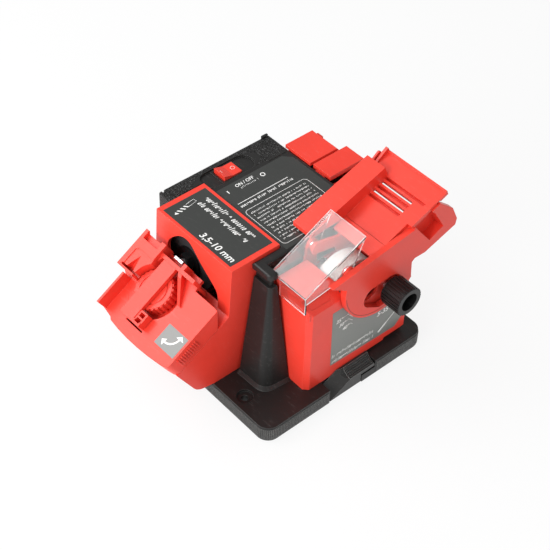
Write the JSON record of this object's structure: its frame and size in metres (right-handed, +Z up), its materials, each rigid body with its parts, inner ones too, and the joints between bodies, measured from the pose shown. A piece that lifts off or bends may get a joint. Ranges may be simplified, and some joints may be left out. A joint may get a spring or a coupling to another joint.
{
  "type": "electric tool sharpener",
  "caption": "Bench sharpener with a drill bit holder, a tilting chisel ramp with clear guard and a knife slot round one motor housing on a base plate.",
  "frame": {"origin": "middle of the whole machine seen from above, at the level its rubber feet stand on", "axes": "+X to the right seen from the chisel side, +Y to the back where the cable enters, +Z up"},
  "size_m": [0.2329, 0.1878, 0.1489],
  "materials": {
    "black_plastic": "fine grained moulded plastic",
    "red_plastic": "satin moulded plastic",
    "knob_plastic": "ribbed moulded plastic",
    "clear_plastic": "clear moulded plastic",
    "rubber": "matt rubber",
    "steel": "turned steel",
    "zinc": "zinc plated",
    "laminations": "stacked electrical steel",
    "copper": "enamelled copper wire",
    "brass": "stamped brass",
    "carbon": "pressed carbon",
    "bronze": "sintered bronze",
    "nylon": "natural nylon",
    "white_stone": "bonded white corundum",
    "grey_stone": "bonded grey corundum",
    "dark_label": "printed film",
    "grey_label": "printed film",
    "light_label": "printed film"
  },
  "bodies": {
    "base": {"base_plate": "black_plastic", "bottom_cover": "black_plastic", "rubber_feet": "rubber", "housing_screws": "zinc", "lever_pin": "steel", "lever_spring": "steel", "body_housing": "black_plastic", "corner_pillar": "black_plastic", "top_cover": "black_plastic", "top_label": "dark_label", "cable_gland": "black_plastic", "switch_body": "black_plastic", "switch_tabs": "brass", "motor_bearings": "bronze", "front_bracket": "black_plastic", "rear_bracket": "black_plastic", "field_stack": "laminations", "motor_cradle": "black_plastic", "field_coils": "copper", "carbon_brushes": "carbon", "brush_holders": "brass", "cross_bearings": "bronze", "bearing_carriers": "black_plastic", "drill_housing": "red_plastic", "drill_label": "dark_label", "head_pivot_pin": "steel", "chisel_housing": "red_plastic", "chisel_label": "grey_label", "lock_bolt": "steel", "knife_housing": "red_plastic", "knife_guide": "red_plastic", "scissor_guide": "red_plastic"},
    "rotor": {"armature_core": "laminations", "armature_windings": "copper", "commutator": "brass", "motor_shaft": "steel", "cooling_fan": "nylon", "bevel_pinion": "nylon", "chisel_wheel": "white_stone", "chisel_flanges": "zinc", "chisel_nut": "zinc"},
    "cross": {"cross_shaft": "steel", "bevel_gear": "nylon", "drill_wheel": "grey_stone", "knife_wheel": "grey_stone", "side_flanges": "zinc", "side_nuts": "zinc"},
    "head": {"drill_head": "red_plastic", "arrow_plate": "light_label", "thumb_pin": "steel", "clamp_bridge": "red_plastic"},
    "clamp_wheel": {"thumb_wheel": "red_plastic"},
    "front_jaw": {"jaw_front": "steel"},
    "back_jaw": {"jaw_back": "steel"},
    "ramp": {"ramp_frame": "red_plastic"},
    "carriage": {"ramp_carriage": "red_plastic"},
    "knob": {"lock_knob": "knob_plastic"},
    "shield": {"clear_shield": "clear_plastic"},
    "rocker": {"switch_rocker": "red_plastic"},
    "lever": {"release_lever": "black_plastic"}
  },
  "joints": [
    {"name": "motor_spin", "type": "hinge", "parent": "base", "child": "rotor", "pos_m": [0.0256, 0, 0.085], "axis": [0, 1, 0], "continuous": true},
    {"name": "cross_spin", "type": "hinge", "parent": "base", "child": "cross", "pos_m": [0.0256, 0.038, 0.085], "axis": [1, 0, 0], "continuous": true},
    {"name": "head_swing", "type": "hinge", "parent": "base", "child": "head", "pos_m": [-0.06377, 0.032, 0.08218], "axis": [-0.5195, 0, 0.8545], "range_deg": [-12, 12]},
    {"name": "clamp_turn", "type": "hinge", "parent": "head", "child": "clamp_wheel", "pos_m": [-0.0816, 0.0316, 0.0807], "axis": [-0.5195, 0, 0.8545], "range_deg": [0, 180]},
    {"name": "front_jaw_slide", "type": "slide", "parent": "head", "child": "front_jaw", "axis": [0, -1, 0], "range_m": [0, 0.00325]},
    {"name": "back_jaw_slide", "type": "slide", "parent": "head", "child": "back_jaw", "axis": [0, 1, 0], "range_m": [0, 0.00325]},
    {"name": "ramp_tilt", "type": "hinge", "parent": "base", "child": "ramp", "pos_m": [0.014, -0.05, 0.1145], "axis": [0, -1, 0], "range_deg": [0, 15]},
    {"name": "carriage_slide", "type": "slide", "parent": "ramp", "child": "carriage", "axis": [0, 1, 0], "range_m": [0, 0.015]},
    {"name": "knob_turn", "type": "hinge", "parent": "base", "child": "knob", "pos_m": [0.0525, -0.084, 0.0805], "axis": [0, 1, 0], "range_deg": [0, 270]},
    {"name": "shield_lift", "type": "hinge", "parent": "base", "child": "shield", "pos_m": [0.014, -0.05, 0.1145], "axis": [0, 1, 0], "range_deg": [0, 25]},
    {"name": "switch_rock", "type": "hinge", "parent": "base", "child": "rocker", "pos_m": [0.0155, 0.068, 0.1159], "axis": [0, 1, 0], "range_deg": [-18, 0]},
    {"name": "lever_press", "type": "hinge", "parent": "base", "child": "lever", "pos_m": [0.0105, -0.053, 0.0095], "axis": [1, 0, 0], "range_deg": [0, 3.5], "stiffness_Nm_per_rad": 0.5, "springref_deg": -5.73, "deforming": ["lever_spring"]}
  ],
  "couplings": [
    {"joint": "cross_spin", "follows": "motor_spin", "ratio": -1},
    {"joint": "front_jaw_slide", "follows": "clamp_turn", "m_per_rad": 0.0010345},
    {"joint": "back_jaw_slide", "follows": "clamp_turn", "m_per_rad": 0.0010345}
  ]
}
